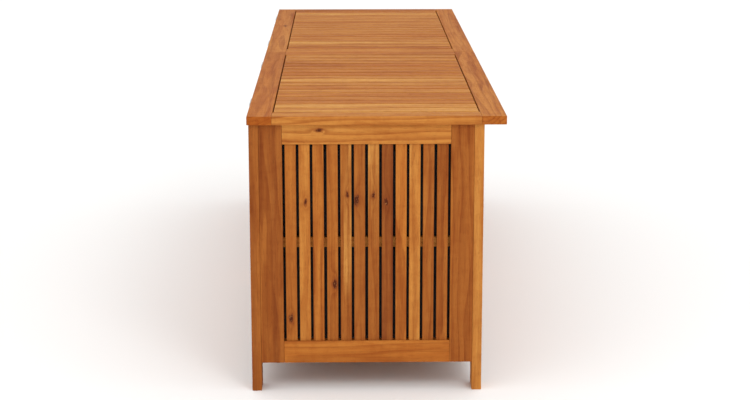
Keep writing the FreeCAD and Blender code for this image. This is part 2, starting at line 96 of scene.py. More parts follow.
def oiled_acacia():
    """Planed acacia under one coat of oil: satin, with broad streaks, growth rings and knots.

    Each board carries its own two shades, its place in the log and its knots, so that no two
    boards look cut from the same stick. The pores are 0.4 mm wide and drawn 0.8 mm wide.
    """
    material, tree, output = new_material("oiled_acacia")
    board = {
        name: add(tree, "ShaderNodeAttribute", {}, attribute_name=name).outputs["Vector"]
        for name in ("along", "seed", "shade", "streak", "figure", "knot_a", "knot_b")
    }
    end = add(tree, "ShaderNodeAttribute", {}, attribute_name="end").outputs["Fac"]

    def maths(operation, *values):
        return add(tree, "ShaderNodeMath", dict(enumerate(values)), operation=operation).outputs[0]

    def vector(operation, *values):
        made = add(tree, "ShaderNodeVectorMath", dict(enumerate(values)), operation=operation)
        return made.outputs["Value" if operation == "LENGTH" else "Vector"]

    def noise(size_mm, detail, distortion=0.0):
        """Noise whose grains are size_mm long, wide and deep in the board."""
        scale = tuple(1000 / s for s in size_mm)
        place = vector("MULTIPLY", vector("ADD", board["along"], board["seed"]), scale)
        links = {"Vector": place, "Scale": 1.0, "Detail": detail, "Distortion": distortion}
        return add(tree, "ShaderNodeTexNoise", links).outputs[0]

    def blend(how, share, low, high):
        links = {0: share, 6: low, 7: high}
        return add(tree, "ShaderNodeMix", links, data_type="RGBA", blend_type=how).outputs[2]

    def stretch(value, low, high):
        """Turns low..high into a smooth 0..1."""
        links = {0: value, 1: low, 2: high}
        return add(tree, "ShaderNodeMapRange", links, interpolation_type="SMOOTHSTEP").outputs[0]

    figure = add(tree, "ShaderNodeSeparateXYZ", {0: board["figure"]}).outputs
    along = add(tree, "ShaderNodeSeparateXYZ", {0: board["along"]}).outputs

    # Knots push the rings aside. They are taller than wide, ragged, and darkest at the heart.
    push, heart, rim, halo = 0.0, 0.0, 0.0, 0.0
    torn = maths("SUBTRACT", maths("MULTIPLY", noise((12, 4.5, 6), 3, 0.5), 2.0), 1.0)
    for name in ("knot_a", "knot_b"):
        radius = add(tree, "ShaderNodeSeparateXYZ", {0: board[name]}).outputs[2]
        offset = vector("SUBTRACT", board["along"], board[name])
        wide = maths("DIVIDE", vector("LENGTH", vector("MULTIPLY", offset, (0.3, 1.0, 0.0))), radius)
        near = maths("DIVIDE", vector("LENGTH", vector("MULTIPLY", offset, (0.5, 1.0, 0.0))), radius)
        swell = maths("POWER", math.e, maths("MULTIPLY", maths("POWER", wide, 2.0), -0.45))
        push = maths("ADD", maths("MULTIPLY", swell, maths("MULTIPLY", radius, 1.6)), push)
        ragged = maths("ADD", near, torn)
        heart = maths("MAXIMUM", stretch(ragged, 0.95, 0.45), heart)
        rim = maths("MAXIMUM", stretch(ragged, 1.5, 0.85), rim)
        halo = maths("MAXIMUM", swell, halo)

    # Growth rings about a pith that lies off the board, bent by slow and quick waves.
    pith = vector("MULTIPLY", board["seed"], (0.0, 0.008, 0.004))
    pith = vector("ADD", pith, (0.0, 0.0, 0.045))
    flat = vector("MULTIPLY", board["along"], (0.0, 1.0, 1.0))
    distance = vector("LENGTH", vector("SUBTRACT", flat, pith))
    slow = maths("MULTIPLY", noise((620, 70, 70), 2), 0.030)
    quick = maths("MULTIPLY", noise((130, 16, 16), 2), 0.005)
    rings = maths("ADD", maths("ADD", distance, push), maths("ADD", slow, quick))
    ring = maths("FRACT", maths("DIVIDE", rings, 8.0 * MM))
    late = maths("MULTIPLY", stretch(ring, 0.35, 0.95), stretch(ring, 1.0, 0.93))

    # Broad streaks of sapwood and heartwood run along the grain.
    streaks = noise((900, 26, 40), 3, 0.6)
    drift = maths("MULTIPLY", along[0], figure[1])
    share = maths("ADD", maths("ADD", streaks, figure[0]), drift)
    colour = blend("MIX", stretch(share, 0.40, 0.62), board["shade"], board["streak"])
    clouds = stretch(noise((150, 18, 30), 3, 0.8), 0.40, 0.66)
    colour = blend("MULTIPLY", maths("MULTIPLY", clouds, 0.34), colour, (*linear("#CB965E"), 1))
    ripples = stretch(noise((16, 30, 30), 2, 0.4), 0.45, 0.62)
    colour = blend("MULTIPLY", maths("MULTIPLY", ripples, 0.14), colour, (*linear("#D3A579"), 1))
    veins = stretch(noise((300, 6, 10), 3, 1.2), 0.56, 0.74)
    colour = blend("MULTIPLY", maths("MULTIPLY", veins, 0.38), colour, (*linear("#AC7C48"), 1))
    colour = blend("MULTIPLY", maths("MULTIPLY", late, figure[2]), colour, (*linear("#B47E50"), 1))
    fibres = noise((70, 1.6, 1.6), 2)
    colour = blend("MULTIPLY", maths("MULTIPLY", stretch(fibres, 0.45, 0.75), 0.22), colour,
                   (*linear("#BD8450"), 1))
    pores = stretch(noise((14, 0.8, 0.8), 1), 0.63, 0.70)
    colour = blend("MIX", maths("MULTIPLY", pores, 0.32), colour, (*linear("#5B2F16"), 1))
    colour = blend("MULTIPLY", maths("MULTIPLY", halo, 0.35), colour, (*linear("#B06A3C"), 1))
    colour = blend("MIX", maths("MULTIPLY", rim, 0.72), colour, (*linear("#81401A"), 1))
    colour = blend("MIX", maths("MULTIPLY", heart, 0.92), colour, (*linear("#4A1C09"), 1))
    flecks = maths("MULTIPLY", stretch(noise((3, 2, 2), 1), 0.60, 0.66), heart)
    colour = blend("MIX", maths("MULTIPLY", flecks, 0.6), colour, (*linear("#A8703F"), 1))
    colour = blend("MULTIPLY", maths("MULTIPLY", end, 0.6), colour, (*linear("#D8AC86"), 1))

    relief = maths("SUBTRACT", maths("MULTIPLY", fibres, 0.5), pores)
    relief = maths("SUBTRACT", relief, maths("MULTIPLY", heart, 0.6))
    bump = add(tree, "ShaderNodeBump", {"Height": relief, "Distance": 0.25 * MM, "Strength": 0.5})
    rough = maths("ADD", maths("MULTIPLY", fibres, 0.16), maths("MULTIPLY", end, 0.15))
    links = {
        "Base Color": colour,
        "Roughness": maths("ADD", rough, 0.64),
        "Normal": bump.outputs[0],
        "IOR": 1.48,
        "Specular IOR Level": 0.12,
    }
    shader = add(tree, "ShaderNodeBsdfPrincipled", links)
    tree.links.new(shader.outputs[0], output.inputs["Surface"])
    return material


ACACIA = oiled_acacia()

# Oiled acacia runs from pale gold sapwood through golden brown to dark red-brown heartwood.
TONES = ("#DAA254", "#B8702C", "#783A1A")
# How far along that run a board's own wood lies, and its streaks: 0 is sapwood, 1 heartwood.
SHADES = {
    "straw": (0.1, 0.3),
    "gold": (0.2, 0.7),
    "honey": (0.3, 0.4),
    "wheat": (0.4, 0.5),
    "ochre": (0.5, 0.6),
    "ginger": (0.6, 0.4),
    "amber": (0.6, 0.7),
    "copper": (0.7, 0.3),
    "chestnut": (0.7, 0.8),
    "umber": (0.9, 0.7),
}
USUAL = ("ochre", "amber", "ginger", "wheat", "gold", "copper", "ochre", "amber", "amber", "chestnut")
KNOT_LEAST, KNOT_MOST = 2.5 * MM, 6 * MM


def tint(share):
    """The linear colour at a share of the way along TONES."""
    steps = len(TONES) - 1
    i = min(int(share * steps), steps - 1)
    return tuple(a + (b - a) * (share * steps - i) for a, b in zip(linear(TONES[i]), linear(TONES[i + 1])))


def natural(random_, pair, grain, across, knotty=0.25):
    """A board's knot, which as many boards hold as knotty says, and its figure, both drawn at random."""
    size = pair[1] - pair[0]
    knots = ()
    if random_.random() < knotty:
        knots = ((random_.uniform(-0.4, 0.4) * size[grain], random_.uniform(-0.3, 0.3) * size[across],
                  random_.uniform(KNOT_LEAST, KNOT_MOST)),)
    figure = (random_.uniform(-0.08, 0.08), random_.uniform(-0.5, 0.5), random_.uniform(0.2, 0.5))
    return {"knots": knots, "figure": figure}


def solids(node):
    """The lowest and highest corner of each separate solid in a CAD node, along the box."""
    mesh = bmesh.new()
    mesh.from_mesh(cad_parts[node].data)
    bmesh.ops.remove_doubles(mesh, verts=mesh.verts, dist=MM * MM)
    left, boxes = set(mesh.verts), []
    while left:
        reached = [left.pop()]
        for vert in reached:
            for edge in vert.link_edges:
                other = edge.other_vert(vert)
                if other in left:
                    left.discard(other)
                    reached.append(other)
        places = [v.co for v in reached]
        low = Vector([min(p[i] for p in places) for i in range(3)])
        high = Vector([max(p[i] for p in places) for i in range(3)])
        boxes.append((low, high))
    mesh.free()
    return sorted(boxes, key=lambda pair: (round(pair[0].x, 4), round(pair[0].y, 4), round(pair[0].z, 4)))


def trimmed(pair, axis, length):
    """A box without the tenons at its two ends along an axis (0, 1 or 2)."""
    low, high = pair[0].copy(), pair[1].copy()
    low[axis] += length
    high[axis] -= length
    return low, high


def prism(outline, axis, start, stop):
    """A bmesh prism: an outline in the plane across the axis, drawn out from start to stop."""
    mesh = bmesh.new()
    rings = []
    for level in (start, stop):
        ring = []
        for a, b in outline:
            place = [0.0, 0.0, 0.0]
            place[axis], place[(axis + 1) % 3], place[(axis + 2) % 3] = level, a, b
            ring.append(mesh.verts.new(place))
        rings.append(ring)
    count = len(outline)
    for i in range(count):
        j = (i + 1) % count
        mesh.faces.new((rings[0][i], rings[0][j], rings[1][j], rings[1][i]))
    mesh.faces.new(list(reversed(rings[0])))
    mesh.faces.new(rings[1])
    bmesh.ops.recalc_face_normals(mesh, faces=mesh.faces)
    return mesh


def rectangle(pair, axis):
    """The outline across an axis of a box."""
    a, b = (axis + 1) % 3, (axis + 2) % 3
    low, high = pair
    return [(low[a], low[b]), (high[a], low[b]), (high[a], high[b]), (low[a], high[b])]


def board(pair, grain, shade="ochre", broad=None, knots=(), figure=(0.0, 0.0, 0.3), outline=None,
          drawn=None, eased=EASED, bores=()):
    """What timber() needs to know about one board. Axes are 0, 1 or 2 for x, y or z.

    pair is its box, grain the axis of its length and broad the axis across its wide face. figure
    is how far it leans to its streaks, how that drifts along it, and how strong its rings are.
    outline and drawn are a section other than a rectangle, and the axis that it is drawn along.
    Each bore is a round hole: its mouth, the way in, its radius and its depth.
    """
    size = pair[1] - pair[0]
    across = [axis for axis in range(3) if axis != grain]
    if broad is None:
        broad = max(across, key=lambda axis: size[axis])
    return {"pair": pair, "grain": grain, "broad": broad, "shade": shade, "knots": knots, "figure": figure,
            "outline": outline, "drawn": grain if drawn is None else drawn, "eased": eased, "bores": bores}


def carved(solid, bit):
    """The solid less the bit, as a new bmesh. It frees both that are handed in."""
    meshes, holders = [], []
    for name, shape in (("wood", solid), ("bit", bit)):
        meshes.append(bpy.data.meshes.new(name))
        shape.to_mesh(meshes[-1])
        shape.free()
        holders.append(bpy.data.objects.new(name, meshes[-1]))
        bpy.context.collection.objects.link(holders[-1])
    cut = holders[0].modifiers.new("cut", "BOOLEAN")
    cut.operation, cut.object = "DIFFERENCE", holders[1]
    done = bpy.data.meshes.new_from_object(holders[0].evaluated_get(bpy.context.evaluated_depsgraph_get()))
    made = bmesh.new()
    made.from_mesh(done)
    for holder in holders:
        bpy.data.objects.remove(holder)
    for mesh in (*meshes, done):
        bpy.data.meshes.remove(mesh)
    return made


def facing(place, way):
    """The matrix that moves the origin to a place and turns +Z to point along way."""
    return Matrix.Translation(place) @ way.to_track_quat("Z", "Y").to_matrix().to_4x4()


def bored(solid, bores):
    """The solid as a new bmesh with its bores cut."""
    drill = bmesh.new()
    for mouth, way, radius, depth in bores:
        bmesh.ops.create_cone(drill, cap_ends=True, segments=48, radius1=radius, radius2=radius,
                              depth=2 * depth, matrix=facing(mouth, way))
    return carved(solid, drill)


def shape_board(b):
    """One board as a bmesh, with its outer edges eased and its bores cut."""
    low, high = b["pair"]
    drawn = b["drawn"]
    mesh = prism(b["outline"] or rectangle(b["pair"], drawn), drawn, low[drawn], high[drawn])
    sharp = [e for e in mesh.edges if e.calc_face_angle_signed() > 0.5]
    bmesh.ops.bevel(mesh, geom=sharp, offset=b["eased"], segments=2, profile=0.6, affect="EDGES",
                    clamp_overlap=True)
    return bored(mesh, b["bores"]) if b["bores"] else mesh


def timber(name, boards, body, node, material=ACACIA):
    """Builds boards as one piece that stands for a CAD node and rides on a body."""
    random_ = random.Random(name)
    whole = bpy.data.meshes.new(name)
    gathered = bmesh.new()
    names = ("along", "seed", "shade", "streak", "figure", "knot_a", "knot_b")
    for b in boards:
        mesh = shape_board(b)
        layers = {key: mesh.verts.layers.float_vector.new(key) for key in names}
        end = mesh.faces.layers.float.new("end")
        middle = (b["pair"][0] + b["pair"][1]) / 2
        grain, broad = b["grain"], b["broad"]
        thin = 3 - grain - broad
        shade, streak = SHADES[b["shade"]]
        knots = [*b["knots"], NO_KNOT, NO_KNOT]
        fixed = {
            "seed": [random_.uniform(-5, 5) for _ in range(3)],
            "shade": tint(shade),
            "streak": tint(streak),
            "figure": b["figure"],
            "knot_a": knots[0],
            "knot_b": knots[1],
        }
        for vert in mesh.verts:
            place = vert.co - middle
            vert[layers["along"]] = (place[grain], place[broad], place[thin])
            for key, value in fixed.items():
                vert[layers[key]] = value
        for edge in mesh.edges:
            edge.smooth = edge.calc_face_angle(0.0) < 0.9
        for face in mesh.faces:
            face.smooth = True
            face[end] = 1.0 if abs(face.normal[grain]) > 0.9 else 0.0
        part = bpy.data.meshes.new("board")
        mesh.to_mesh(part)
        mesh.free()
        gathered.from_mesh(part)
        bpy.data.meshes.remove(part)
    gathered.to_mesh(whole)
    gathered.free()
    piece = bpy.data.objects.new(name, whole)
    bpy.context.collection.objects.link(piece)
    whole.materials.append(material)
    piece.modifiers.new("even_shading", "WEIGHTED_NORMAL").keep_sharp = True
    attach(piece, body)
    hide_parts(node)
    return piece


BOLT_PLAY = 0.3 * MM
BOLT_SEAT = 4 * MM


def bolt_bores(low, high):
    """A counterbore for each corner bolt that goes through a leg."""
    found = []
    for start, stop in solids("corner_bolts"):
        x, z = (start.x + stop.x) / 2, (start.z + stop.z) / 2
        if low.x < x < high.x and start.y < high.y and stop.y > low.y:
            inwards = -1 if high.y > 0 else 1
            mouth = Vector((x, high.y if inwards < 0 else low.y, z))
            found.append((mouth, Vector((0, inwards, 0)), (stop.x - start.x) / 2 + BOLT_PLAY, BOLT_SEAT))
    return found


# All four are knotty wood, dark at the back of the left-hand end and pale at its front.
CORNER_LEGS = {
    "corner_leg_back_left": "chestnut",
    "corner_leg_front_left": "honey",
    "corner_leg_back_right": "amber",
    "corner_leg_front_right": "ochre",
}
KNOTTY_LEG = 0.6
for node, shade in CORNER_LEGS.items():
    low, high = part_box(node)
    look = natural(random.Random(node), (low, high), 2, 1, KNOTTY_LEG)
    leg = board((low, high), 2, shade, broad=1, bores=bolt_bores(low, high), **look)
    timber(node.replace("corner_leg", "corner_post"), [leg], "box", node)

# ---- Middle legs ----
# Two legs stand side by side where the two panels of each long side meet.
# They are the same 45 x 19 mm boards as the corner legs, one from each panel.

for side, shades in (("front", ("amber", "wheat")), ("back", ("ginger", "ochre"))):
    low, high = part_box(f"middle_legs_{side}")
    seam = (low.x + high.x) / 2
    halves = [
        (low.copy(), Vector((seam, high.y, high.z))),
        (Vector((seam, low.y, low.z)), high.copy()),
    ]
    legs = [board(pair, 2, shade) for pair, shade in zip(halves, shades)]
    timber(f"middle_posts_{side}", legs, "box", f"middle_legs_{side}")

# ---- Panel rails ----
# The top and bottom rail of each panel, tenoned between its legs or stiles.
# A groove in the edge that faces the slats holds their ends.

TENON = 18 * MM
GROOVE_DEPTH = 8.1 * MM
GROOVE_FROM_FACE = (3.9 * MM, 14.1 * MM)


def grooved(pair, axis, outside, up):
    """A rail's section with the slat groove: outside is the sign of its outer face, up of its groove."""
    a, b = (axis + 1) % 3, (axis + 2) % 3
    low, high = pair
    depth_is_a = a != 2
    thick = a if depth_is_a else b
    face = high[thick] if outside > 0 else low[thick]
    near, far = [face - outside * d for d in GROOVE_FROM_FACE]
    inner = low[thick] if outside > 0 else high[thick]
    edge = high.z if up > 0 else low.z
    other = low.z if up > 0 else high.z
    floor = edge - up * GROOVE_DEPTH
    section = [(face, other), (face, edge), (near, edge), (near, floor), (far, floor), (far, edge),
               (inner, edge), (inner, other)]
    return section if depth_is_a else [(z, d) for d, z in section]


def rail(node, grain, outside, up, shade):
    """One grooved rail that stands for its CAD node."""
    pair = trimmed(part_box(node), grain, TENON)
    section = grooved(pair, grain, outside, up)
    look = natural(random.Random(node), pair, grain, 2)
    timber(f"{node}_board", [board(pair, grain, shade, outline=section, broad=2, **look)], "box", node)


RAIL_SHADES = {"front_left": "ochre", "front_right": "amber", "back_left": "ginger", "back_right": "ochre"}
for name, shade in RAIL_SHADES.items():
    outside = -1 if name.startswith("front") else 1
    rail(f"top_rail_{name}", 0, outside, -1, shade)
    rail(f"bottom_rail_{name}", 0, outside, 1, shade)
rail("top_rail_end_left", 1, -1, -1, "honey")
rail("bottom_rail_end_left", 1, -1, 1, "ochre")
rail("top_rail_end_right", 1, 1, -1, "ochre")
rail("bottom_rail_end_right", 1, 1, 1, "amber")

# ---- Slats and mid rails of the long sides ----
# Upright slats 21.5 x 10 mm with 5 mm gaps, set back from the face and held in the rails' grooves.
# A 20 mm rail runs behind them at half height, thinned at its ends to lap the legs.

SLAT_PLAY = 0.3 * MM
LAP = 18 * MM
LAP_THICKNESS = 5 * MM


def slat_boards(node, shades, grain, across, knotty=0.25):
    """The slats of a panel, each a hair out of line with its neighbours."""
    random_ = random.Random(node)
    made = []
    for i, (low, high) in enumerate(solids(node)):
        shift = Vector((0, 0, 0))
        shift[across] = random_.uniform(-SLAT_PLAY, SLAT_PLAY)
        shade = shades[i % len(shades)] if shades else random_.choice(USUAL)
        pair = (low + shift, high + shift)
        look = natural(random_, pair, grain, across, knotty)
        made.append(board(pair, grain, shade, broad=across, eased=0.8 * EASED, **look))
    return made


def mid_rail_board(pair, along, outside, shade):
    """A mid rail, thicker between the legs than over them."""
    low, high = pair
    thick = 1 - along
    face = high[thick] if outside > 0 else low[thick]
    back = low[thick] if outside > 0 else high[thick]
    lap_face = back + outside * LAP_THICKNESS
    start, stop = low[along], high[along]
    section = [(start, back), (stop, back), (stop, lap_face), (stop - LAP, lap_face), (stop - LAP, face),
               (start + LAP, face), (start + LAP, lap_face), (start, lap_face)]
    if along == 1:
        section = [(d, u) for u, d in section]
    return board(pair, along, shade, outline=[(a, b) for a, b in section], drawn=2, broad=2)


for name in RAIL_SHADES:
    node = f"slats_{name}"
    timber(f"panel_slats_{name}", slat_boards(node, None, 2, 0), "box", node)
for side, outside in (("front", -1), ("back", 1)):
    node = f"mid_rails_{side}"
    rails = [mid_rail_board(pair, 0, outside, "ochre") for pair in solids(node)]
    timber(f"back_rails_{side}", rails, "box", node)

# ---- Ends ----
# Each end is a panel between the corner legs: two stiles, two rails, twelve slats and a mid rail.
# The left-hand end's slats run from pale streaked wood to dark heartwood, and half hold a knot.

END_STILES = {
    "end_stile_left_back": "chestnut",
    "end_stile_left_front": "amber",
    "end_stile_right_back": "ochre",
    "end_stile_right_front": "amber",
}
for node, shade in END_STILES.items():
    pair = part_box(node)
    look = natural(random.Random(node), pair, 2, 1)
    timber(f"{node}_board", [board(pair, 2, shade, broad=1, **look)], "box", node)

# From the front corner to the back one.
LEFT_END_SLATS = ("amber", "amber", "honey", "ochre", "umber", "gold", "amber", "gold", "amber", "ochre",
                  "ginger", "ochre")
KNOTTY_END = 0.5
left_slats = slat_boards("end_slats_left", LEFT_END_SLATS, 2, 1, KNOTTY_END)
timber("end_panel_slats_left", left_slats, "box", "end_slats_left")
timber("end_panel_slats_right", slat_boards("end_slats_right", None, 2, 1), "box", "end_slats_right")
end_rails = [mid_rail_board(pair, 1, -1 if pair[0].x < 0 else 1, "honey") for pair in solids("end_mid_rails")]
timber("end_back_rails", end_rails, "box", "end_mid_rails")

# ---- Joining boards and floor ----
# A board screwed behind each pair of middle legs joins the panels. Bearers run along the bottom
# rails, and loose boards lie across them.

for side in ("front", "back"):
    node = f"panel_joiner_{side}"
    timber(f"joining_board_{side}", [board(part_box(node), 2, "ochre")], "box", node)
bearers = [board(pair, 0, "amber") for pair in solids("floor_bearers")]
timber("bearers", bearers, "box", "floor_bearers")
timber("floor_slatting", slat_boards("floor_boards", None, 1, 0), "box", "floor_boards")

# ---- Lid ----
# Two framed panels of 17 mm boards end to end. The long rails run through, so that their end
# grain shows at the ends. Slats 12 mm thick lie across battens, flush with the rails.

LID_RAILS = {
    "lid_back_rail_left": "ochre",
    "lid_back_rail_right": "wheat",
    "lid_front_rail_left": "wheat",
    "lid_front_rail_right": "wheat",
}
for node, shade in LID_RAILS.items():
    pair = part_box(node)
    look = natural(random.Random(node), pair, 0, 1)
    timber(f"{node}_board", [board(pair, 0, shade, broad=1, **look)], "lid", node)
LID_CROSS_RAILS = {
    "lid_end_rail_left": "honey",
    "lid_middle_rail_left": "wheat",
    "lid_middle_rail_right": "honey",
    "lid_end_rail_right": "ochre",
}
for node, shade in LID_CROSS_RAILS.items():
    pair = trimmed(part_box(node), 1, TENON)
    look = natural(random.Random(node), pair, 1, 0, 0.0)
    timber(f"{node}_board", [board(pair, 1, shade, broad=0, **look)], "lid", node)
# The lid's slats take paler shades than the body's boards. Their random mix is the wood's own tone; their
# paleness is painted light, standing in for the light on the lid's top.
LID_SHADES_PAINTED_LIT = ("honey", "wheat", "straw", "honey", "wheat", "honey")
for side in ("left", "right"):
    node = f"lid_slats_{side}"
    random_ = random.Random(node)
    shades = [random_.choice(LID_SHADES_PAINTED_LIT) for _ in solids(node)]
    timber(f"lid_slatting_{side}", slat_boards(node, shades, 1, 0, 0.0), "lid", node)
battens = [board(pair, 0, "amber") for pair in solids("lid_battens")]
timber("lid_batten_boards", battens, "lid", "lid_battens")
cleats = [board(pair, 0, "ochre") for pair in solids("lid_seam_cleats")]
timber("lid_cleat_boards", cleats, "lid", "lid_seam_cleats")

# ---- Liner bag ----
# A bag of black coated polyester stands in the box and hangs from tabs on the top rails.
# Its walls sag between the tabs and crease towards the floor.

LINER = (*linear("#141416"), 1)


def coated_polyester():
    """Plain-woven polyester with a coated back: near black, matt, with a slight sheen.

    The threads are 0.5 mm apart and drawn 1.5 mm apart, so that the weave can be seen.
    """
    material, tree, output = new_material("coated_polyester")
    place = add(tree, "ShaderNodeTexCoord", {}).outputs["Object"]
    scale = 2 * math.pi / (1.5 * MM)
    split = add(tree, "ShaderNodeSeparateXYZ", {0: place}).outputs
    waves = []
    for axis in range(3):
        turn = add(tree, "ShaderNodeMath", {0: split[axis], 1: scale}, operation="MULTIPLY").outputs[0]
        waves.append(add(tree, "ShaderNodeMath", {0: turn}, operation="SINE").outputs[0])
    weave = add(tree, "ShaderNodeMath", {0: waves[0], 1: waves[1]}, operation="ADD").outputs[0]
    weave = add(tree, "ShaderNodeMath", {0: weave, 1: waves[2]}, operation="ADD").outputs[0]
    bump = add(tree, "ShaderNodeBump", {"Height": weave, "Distance": 0.1 * MM, "Strength": 0.4})
    links = {"Vector": place, "Scale": 9.0, "Detail": 3.0}
    cloud = add(tree, "ShaderNodeTexNoise", links).outputs[0]
    rough = add(tree, "ShaderNodeMapRange", {0: cloud, 3: 0.5, 4: 0.7}).outputs[0]
    colour = add(tree, "ShaderNodeMix", {0: cloud, 6: LINER, 7: (*linear("#1D1D20"), 1)}, data_type="RGBA")
    links = {"Base Color": colour.outputs[2], "Roughness": rough, "Normal": bump.outputs[0],
             "Sheen Weight": 0.25, "Sheen Roughness": 0.4}
    shader = add(tree, "ShaderNodeBsdfPrincipled", links)
    tree.links.new(shader.outputs[0], output.inputs["Surface"])
    return material


LINER_FABRIC = coated_polyester()


LINER_CORNER = 20 * MM
LINER_STEP = 9 * MM
HEM_DEPTH = 18 * MM
bag_low, bag_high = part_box("liner_bag")
bag_middle = (bag_low + bag_high) / 2
bag_half = (bag_high - bag_low) / 2
TABS = solids("liner_tabs")


def bag_outline():
    """Points round the bag, about its middle, with rounded corners."""
    corners = []
    for sx, sy, start in ((1, 1, 0), (-1, 1, 90), (-1, -1, 180), (1, -1, 270)):
        for k in range(6):
            turn = math.radians(start + 18 * k)
            corners.append((sx * (bag_half.x - LINER_CORNER) + LINER_CORNER * math.cos(turn),
                            sy * (bag_half.y - LINER_CORNER) + LINER_CORNER * math.sin(turn)))
    ring = []
    for i, here in enumerate(corners):
        there = corners[(i + 1) % len(corners)]
        parts = max(1, round(math.dist(here, there) / LINER_STEP))
        for k in range(parts):
            ring.append(tuple(a + (b - a) * k / parts for a, b in zip(here, there)))
    return ring


# How far the cloth hangs in from the bag's outline, and how far its rim sags between tabs.
SET_IN = 2.2 * MM
LEAST_SET_IN = 0.6 * MM
SLACK_SET_IN = 2.6 * MM
FOLD_DEPTH = 1.5 * MM
CREASE_DEPTH = 4.5 * MM
RIM_SAG = 9 * MM
SAG_REACH = 0.09
SAG_STARTS = 0.7
FOOT_RISE = 1.2 * MM


def bag_point(x, y, t):
    """Where the cloth hangs at a point of the outline, a share t of the way up its wall."""
    nearest = min(math.dist((x + bag_middle.x, y + bag_middle.y), ((a.x + b.x) / 2, (a.y + b.y) / 2))
                  for a, b in TABS)
    sag = (1 - math.exp(-(nearest / SAG_REACH) ** 2)) * RIM_SAG
    fold = math.sin(x * 43 + 3 * math.sin(y * 17)) + 0.6 * math.sin((x + y) * 97 + 5 * t)
    fold += 0.8 * math.sin(x * 21 - 9 * t + y * 30) + 0.7 * math.sin((x - y) * 31 + 14 * t)
    slack = 0.35 + 0.65 * math.sin(math.pi * min(1, t * 1.1))
    crease = (1 - abs(math.sin(x * 11 + 3 * math.sin(y * 9) + 7 * t + 2 * math.sin(5 * t)))) ** 3
    crease += 0.8 * (1 - abs(math.sin(y * 23 - x * 7 - 9 * t))) ** 4
    inwards = SET_IN + (FOLD_DEPTH * fold + SLACK_SET_IN) * slack
    inwards += CREASE_DEPTH * crease * math.sin(math.pi * t) ** 2
    if t > SAG_STARTS:
        inwards += 0.6 * sag * (t - SAG_STARTS) / (1 - SAG_STARTS)
    inwards = max(LEAST_SET_IN, inwards)
    foot = bag_low.z + FOOT_RISE
    z = foot + (bag_high.z - foot - sag * t * t) * t
    shrink_x, shrink_y = 1 - inwards / bag_half.x, 1 - inwards / bag_half.y
    return Vector((bag_middle.x + x * shrink_x, bag_middle.y + y * shrink_y, z))


def fabric_bag(ring):
    """The bag as one open shell, lofted round its walls and closed over its floor."""
    mesh = bmesh.new()
    heights = 44
    levels = [level / heights for level in range(heights + 1)]
    rows = [[mesh.verts.new(bag_point(x, y, level)) for x, y in ring] for level in levels]
    count = len(ring)
    for below, above in zip(rows, rows[1:]):
        for i in range(count):
            j = (i + 1) % count
            mesh.faces.new((below[i], below[j], above[j], above[i]))
    floor = mesh.faces.new(list(reversed(rows[0])))
    bmesh.ops.inset_region(mesh, faces=[floor], thickness=12 * MM)
    bmesh.ops.recalc_face_normals(mesh, faces=mesh.faces)
    return mesh


def sewn(name, mesh, thickness=0.0):
    """A piece of the liner from a bmesh, with cloth of a thickness where it is a bare surface."""
    made = bpy.data.meshes.new(name)
    for face in mesh.faces:
        face.smooth = True
    mesh.to_mesh(made)
    mesh.free()
    piece = bpy.data.objects.new(name, made)
    bpy.context.collection.objects.link(piece)
    made.materials.append(LINER_FABRIC)
    if thickness:
        cloth = piece.modifiers.new("cloth", "SOLIDIFY")
        cloth.thickness, cloth.offset = thickness, 0.0
    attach(piece, "box")
    return piece


def stitches(mesh, path, length=3.2 * MM, gap=1.2 * MM, thick=0.35 * MM):
    """Adds thread stitches along a path of points to a bmesh, each a small six-sided bead."""
    spare = 0.0
    for here, there in zip(path, path[1:]):
        run = (there - here).length
        at = spare
        while at + length < run:
            bead = facing(here.lerp(there, (at + length / 2) / run), (there - here).normalized())
            tips = [mesh.verts.new(bead @ Vector((0, 0, way * length / 2))) for way in (-1, 1)]
            girth = []
            for k in range(6):
                turn = math.radians(60 * k)
                place = Vector((thick * math.cos(turn), thick * math.sin(turn), 0))
                girth.append(mesh.verts.new(bead @ place))
            for k in range(6):
                j = (k + 1) % 6
                mesh.faces.new((girth[k], girth[j], tips[1]))
                mesh.faces.new((girth[j], girth[k], tips[0]))
            at += length + gap
        spare = max(0.0, at - run)


outline = bag_outline()
liner = sewn("liner", fabric_bag(outline), 0.8 * MM)
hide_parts("liner_bag")

# The rim is folded over into a hem, sewn along its lower edge.
band = bmesh.new()
rim_share = HEM_DEPTH / (bag_high.z - bag_low.z)
levels = (1.0 - rim_share, 1.0 - rim_share / 2, 1.0)
rows = []
for level in levels:
    row = []
    for x, y in outline:
        place = bag_point(x, y, level)
        inward = Vector((-x if abs(x) > bag_half.x - LINER_CORNER else 0,
                         -y if abs(y) > bag_half.y - LINER_CORNER else 0, 0)).normalized()
        row.append(band.verts.new(place + inward * 0.9 * MM))
    rows.append(row)
for below, above in zip(rows, rows[1:]):
    for i in range(len(outline)):
        j = (i + 1) % len(outline)
        band.faces.new((below[i], below[j], above[j], above[i]))
seam = []
for vert in rows[0]:
    to_middle = Vector((-vert.co.x, -vert.co.y, 0)).normalized()
    seam.append(vert.co + to_middle * 0.5 * MM + Vector((0, 0, 2.5 * MM)))
stitches(band, [*seam, seam[0]])
hem = sewn("liner_hem", band, 0.7 * MM)

